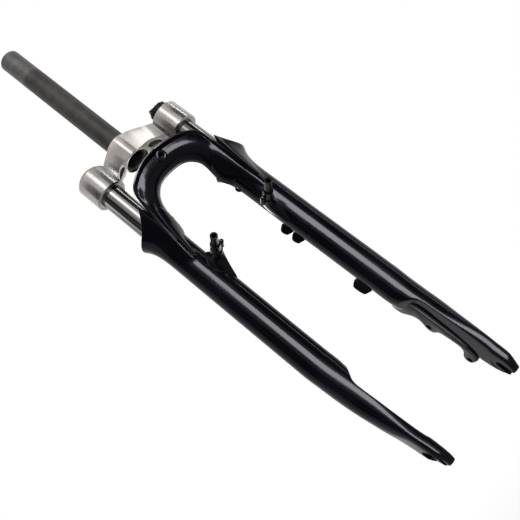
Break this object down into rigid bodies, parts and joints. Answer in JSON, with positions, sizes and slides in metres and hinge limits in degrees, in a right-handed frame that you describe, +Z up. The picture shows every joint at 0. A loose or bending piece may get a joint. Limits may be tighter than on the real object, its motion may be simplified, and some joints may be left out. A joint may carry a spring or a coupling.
{
  "type": "bicycle fork",
  "caption": "Suspension fork for a bicycle: plain steerer, two-arm crown, chromed stanchions and one-piece cast lower legs with arch, brake posts and disc tab.",
  "frame": {"origin": "middle of the crown race seat, on the steerer's axis", "axes": "+Z up the steerer, -Y the way the bicycle rides, +X the rider's left, which is the disc brake side"},
  "size_m": [0.1662, 0.1047, 0.695],
  "materials": {
    "steerer": "dark satin tube",
    "crown": "bright satin",
    "stanchion": "polished",
    "lowers": "gloss black paint",
    "post": "black",
    "seal": "matt",
    "bushing": "plain",
    "guide": "plain",
    "rod": "plain",
    "bumper": "plain",
    "spring": "greased",
    "cap": "black"
  },
  "bodies": {
    "upper": {"steerer_tube": "steerer", "crown": "crown", "stanchion_left": "stanchion", "stanchion_right": "stanchion", "end_guide_left": "guide", "end_guide_right": "guide", "main_spring_left": "spring", "main_spring_right": "spring", "spring_seat_right": "rod", "top_cap_left": "cap", "top_cap_right": "cap"},
    "lowers": {"lower_casting": "lowers", "brake_post_left": "post", "brake_post_right": "post", "dust_seal_left": "seal", "dust_seal_right": "seal", "upper_bushing_left": "bushing", "upper_bushing_right": "bushing", "lower_bushing_left": "bushing", "lower_bushing_right": "bushing", "travel_rod_left": "rod", "travel_rod_right": "rod", "top_out_bumper_left": "bumper", "top_out_bumper_right": "bumper", "bottom_bumper_left": "bumper", "bottom_bumper_right": "bumper"},
    "knob": {"preload_knob": "cap"},
    "preload_seat": {"spring_seat_left": "rod"}
  },
  "joints": [
    {"name": "suspension", "type": "slide", "parent": "upper", "child": "lowers", "axis": [0, 0, 1], "range_m": [0, 0.05], "stiffness_N_per_m": 9500, "springref_m": -0.01, "deforming": ["main_spring_left", "main_spring_right"]},
    {"name": "knob_turn", "type": "hinge", "parent": "upper", "child": "knob", "pos_m": [0.058, -0.022, -0.02], "axis": [0, 0, 1], "range_deg": [0, 720]},
    {"name": "seat_travel", "type": "slide", "parent": "upper", "child": "preload_seat", "axis": [0, 0, -1], "range_m": [0, 0.005]}
  ],
  "couplings": [
    {"joint": "seat_travel", "follows": "knob_turn", "m_per_rad": 0.00039789}
  ]
}
